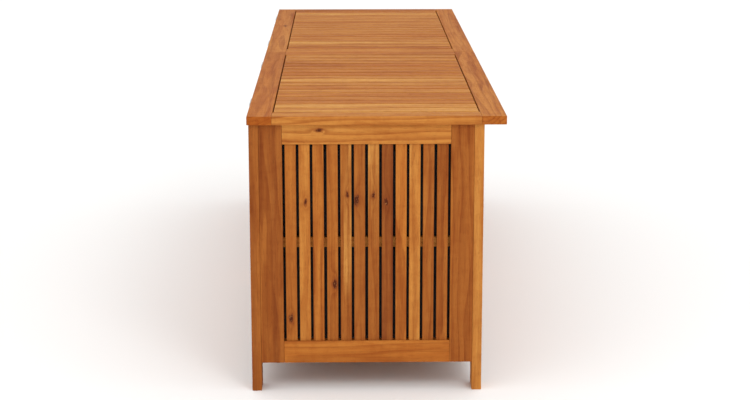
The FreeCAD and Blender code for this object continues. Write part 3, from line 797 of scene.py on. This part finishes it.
# Webbing tabs are sewn to the bag's outside and screwed to the rails.
straps = bmesh.new()
for low, high in TABS:
    size, middle = high - low, (low + high) / 2
    across = 1 if size.x > size.y and size.x > 25 * MM else 0
    side = 1 if middle[across] > 0 else -1
    rail_face = high[across] if side > 0 else low[across]
    bag_face = low[across] if side > 0 else high[across]
    profile = [
        (bag_face + side * 0.9 * MM, low.z - 22 * MM),
        (bag_face + side * 0.9 * MM, low.z - 5 * MM),
        (bag_face + side * 2.0 * MM, low.z + 0.5 * MM),
        (rail_face - side * 2.6 * MM, low.z + 6 * MM),
        (rail_face - side * 0.8 * MM, low.z + 10 * MM),
        (rail_face - side * 0.8 * MM, high.z - 3 * MM),
        (rail_face - side * 0.8 * MM, high.z),
    ]
    widths = [15, 15, 15, 15, 15, 15, 13]
    previous = None
    for (depth, z), half in zip(profile, widths):
        pair = []
        for way in (-1, 1):
            place = [0.0, 0.0, z]
            place[across], place[1 - across] = depth, middle[1 - across] + way * half * MM
            pair.append(straps.verts.new(place))
        if previous:
            straps.faces.new((previous[0], previous[1], pair[1], pair[0]))
        previous = pair
tabs = sewn("liner_webbing_tabs", straps, 1.2 * MM)
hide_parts("liner_tabs")

# ---- Steel ----
# Zinc-plated bolts, nuts and screws, and pressed hinges with a duller plating.


def plated_steel(name, hex_colour, roughness, streak_mm):
    """Zinc-plated steel: a metal with a soft bluish grey and fine rolling marks."""
    material, tree, output = new_material(name)
    place = add(tree, "ShaderNodeTexCoord", {}).outputs["Object"]
    scaled = add(tree, "ShaderNodeVectorMath", {0: place, 1: (1000 / streak_mm, 1000, 1000)},
                 operation="MULTIPLY").outputs[0]
    marks = add(tree, "ShaderNodeTexNoise", {"Vector": scaled, "Scale": 1.0, "Detail": 2.0}).outputs[0]
    rough = add(tree, "ShaderNodeMapRange", {0: marks, 3: roughness - 0.08, 4: roughness + 0.1}).outputs[0]
    dark = (*[0.8 * c for c in linear(hex_colour)], 1)
    colour = add(tree, "ShaderNodeMix", {0: marks, 6: dark, 7: (*linear(hex_colour), 1)}, data_type="RGBA")
    bump = add(tree, "ShaderNodeBump", {"Height": marks, "Distance": 0.02 * MM, "Strength": 0.4})
    links = {"Base Color": colour.outputs[2], "Roughness": rough, "Normal": bump.outputs[0], "Metallic": 1.0}
    shader = add(tree, "ShaderNodeBsdfPrincipled", links)
    tree.links.new(shader.outputs[0], output.inputs["Surface"])
    return material


ZINC = plated_steel("zinc_plated_steel", "#C9C6BB", 0.34, 6)
HINGE_STEEL = plated_steel("galvanised_hinge_steel", "#BDBFBE", 0.4, 12)
STEEL_NODES = ("hinge_lower_leaves", "hinge_upper_leaves", "hinge_pins", "corner_bolts", "barrel_nuts")
for name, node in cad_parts.items():
    if not name.startswith(STEEL_NODES):
        continue
    for place in node.material_slots:
        place.material = HINGE_STEEL if name.endswith("leaves") else ZINC
    for face in node.data.polygons:
        face.use_smooth = True
    weld = node.modifiers.new("weld", "WELD")
    weld.merge_threshold = 0.002 * MM
    ease = node.modifiers.new("eased", "BEVEL")
    ease.width, ease.segments, ease.limit_method = 0.2 * MM, 2, "ANGLE"
    ease.angle_limit, ease.harden_normals = math.radians(40), True

# ---- Screws ----
# Countersunk screws hold the hinges, lid, joining boards and bearers, and round-headed ones the
# liner's tabs. Each has a cross recess, and they stop at different turns.

SHANK_RADIUS = 2 * MM
ROUND_HEAD = 2 * MM
RECESS_ARM = (2.3 * MM, 0.55 * MM)
RECESS_DEPTH = 1.5 * MM


def screw_shape(length, round_head):
    """One screw below the origin, which is at the middle of its head's flat face, head up."""
    if round_head:
        edge = [(0.0, ROUND_HEAD), (1.6, 0.92 * ROUND_HEAD), (2.9, 0.66 * ROUND_HEAD),
                (3.7, 0.3 * ROUND_HEAD), (4.0, 0.0)]
    else:
        edge = [(0.0, 0.30 * MM), (2.0, 0.24 * MM), (3.4, 0.1 * MM), (3.9, -0.05 * MM), (3.95, -0.25 * MM)]
    profile = [(r * MM, z) for r, z in edge]
    profile += [(SHANK_RADIUS, -0.02 * MM if round_head else -2.1 * MM), (SHANK_RADIUS, -length + 4 * MM),
                (0.0, -length)]
    turns = 28
    mesh = bmesh.new()
    rings = []
    for radius, z in profile:
        if radius == 0.0:
            rings.append([mesh.verts.new((0, 0, z))] * turns)
            continue
        angles = [2 * math.pi * k / turns for k in range(turns)]
        rings.append([mesh.verts.new((radius * math.cos(a), radius * math.sin(a), z)) for a in angles])
    for above, below in zip(rings, rings[1:]):
        for k in range(turns):
            j = (k + 1) % turns
            corners = list(dict.fromkeys((above[k], below[k], below[j], above[j])))
            mesh.faces.new(corners)
    bmesh.ops.recalc_face_normals(mesh, faces=mesh.faces)
    arm, half = RECESS_ARM
    cross = [(arm, -half), (arm, half), (half, half), (half, arm), (-half, arm), (-half, half), (-arm, half),
             (-arm, -half), (-half, -half), (-half, -arm), (half, -arm), (half, -half)]
    top = profile[0][1]
    return carved(mesh, prism(cross, 2, top - RECESS_DEPTH, top + RECESS_DEPTH))


def screws(node, body, outward, round_head=False):
    """Screws in place of a CAD node's. outward gives the sign of the way a head faces."""
    random_ = random.Random(node)
    gathered = bmesh.new()
    shapes = {}
    for low, high in solids(node):
        size, middle = high - low, (low + high) / 2
        axis = max(range(3), key=lambda i: size[i])
        way = Vector((0, 0, 0))
        way[axis] = outward(middle[axis])
        length = size[axis] - (ROUND_HEAD if round_head else 0.0)
        key = round(length, 4)
        if key not in shapes:
            shape = screw_shape(length, round_head)
            for face in shape.faces:
                face.smooth = True
            for edge in shape.edges:
                edge.smooth = edge.calc_face_angle(0.0) < 0.6
            shapes[key] = bpy.data.meshes.new("screw")
            shape.to_mesh(shapes[key])
            shape.free()
        mouth = middle + way * (size[axis] / 2 - (ROUND_HEAD if round_head else 0.0))
        one = shapes[key].copy()
        one.transform(facing(mouth, way) @ Matrix.Rotation(random_.uniform(0, math.pi / 2), 4, "Z"))
        gathered.from_mesh(one)
        bpy.data.meshes.remove(one)
    whole = bpy.data.meshes.new(f"{node}_cross_head")
    gathered.to_mesh(whole)
    gathered.free()
    for shape in shapes.values():
        bpy.data.meshes.remove(shape)
    piece = bpy.data.objects.new(whole.name, whole)
    bpy.context.collection.objects.link(piece)
    whole.materials.append(ZINC)
    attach(piece, body)
    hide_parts(node)


screws("hinge_lower_screws", "box", lambda place: 1)
screws("hinge_upper_screws", "lid", lambda place: 1)
screws("lid_screws", "lid", lambda place: -1)
screws("body_screws", "box", lambda place: -1 if place > 0 else 1)
screws("liner_screws", "box", lambda place: -1 if place > 0 else 1, round_head=True)

# ---- Studio ----
# A pale floor under soft light from above and from the camera's side.


def plain_paper():
    """Matt pale paper, such as a studio's seamless roll."""
    material, tree, output = new_material("plain_paper")
    links = {"Base Color": (*linear("#FBFBFA"), 1), "Roughness": 0.95}
    shader = add(tree, "ShaderNodeBsdfPrincipled", links)
    tree.links.new(shader.outputs[0], output.inputs["Surface"])
    return material


ground = bpy.data.meshes.new("ground")
side = 30.0
corners = [(-side, -side, 0), (side, -side, 0), (side, side, 0), (-side, side, 0)]
ground.from_pydata(corners, [], [(0, 1, 2, 3)])
ground.materials.append(plain_paper())
paper = bpy.data.objects.new("ground", ground)
bpy.context.collection.objects.link(paper)

world = bpy.data.worlds.new("studio")
bpy.context.scene.world = world
world.use_nodes = True
sky = world.node_tree.nodes["Background"]
sky.inputs["Color"].default_value = (*linear("#FFFFFF"), 1)
sky.inputs["Strength"].default_value = 1.08


def softbox(name, place, target, size, power):
    """A square area light that faces a point."""
    lamp = bpy.data.lights.new(name, "AREA")
    lamp.size = size
    lamp.energy = power
    holder = bpy.data.objects.new(name, lamp)
    holder.location = place
    holder.rotation_euler = (Vector(target) - Vector(place)).to_track_quat("-Z", "Y").to_euler()
    bpy.context.collection.objects.link(holder)


softbox("key", (-3.3, -1.2, 2.6), (-0.8, 0.0, 0.3), 1.0, 22)
softbox("fill", (-3.4, 2.4, 1.5), (-0.8, 0.0, 0.3), 1.8, 6)

# The camera looks along the box from its left-hand end, from above the lid.
CAMERA_FROM_END = 3.28
CAMERA_OVER_LID = 0.59
CAMERA_ASIDE = 0.058
CAMERA_DOWN = 12.95
CAMERA_TURN = 1.0
CAMERA_LENS = 83.5
camera = bpy.data.cameras.new("camera")
camera.lens = CAMERA_LENS
camera.sensor_width = 36.0
eye = bpy.data.objects.new("camera", camera)
eye.location = (cad_box[0].x - CAMERA_FROM_END, CAMERA_ASIDE, cad_box[1].z + CAMERA_OVER_LID)
eye.rotation_euler = (math.radians(90 - CAMERA_DOWN), 0, math.radians(-90 - CAMERA_TURN))
bpy.context.collection.objects.link(eye)
bpy.context.scene.camera = eye
bpy.context.scene.view_settings.view_transform = "Standard"
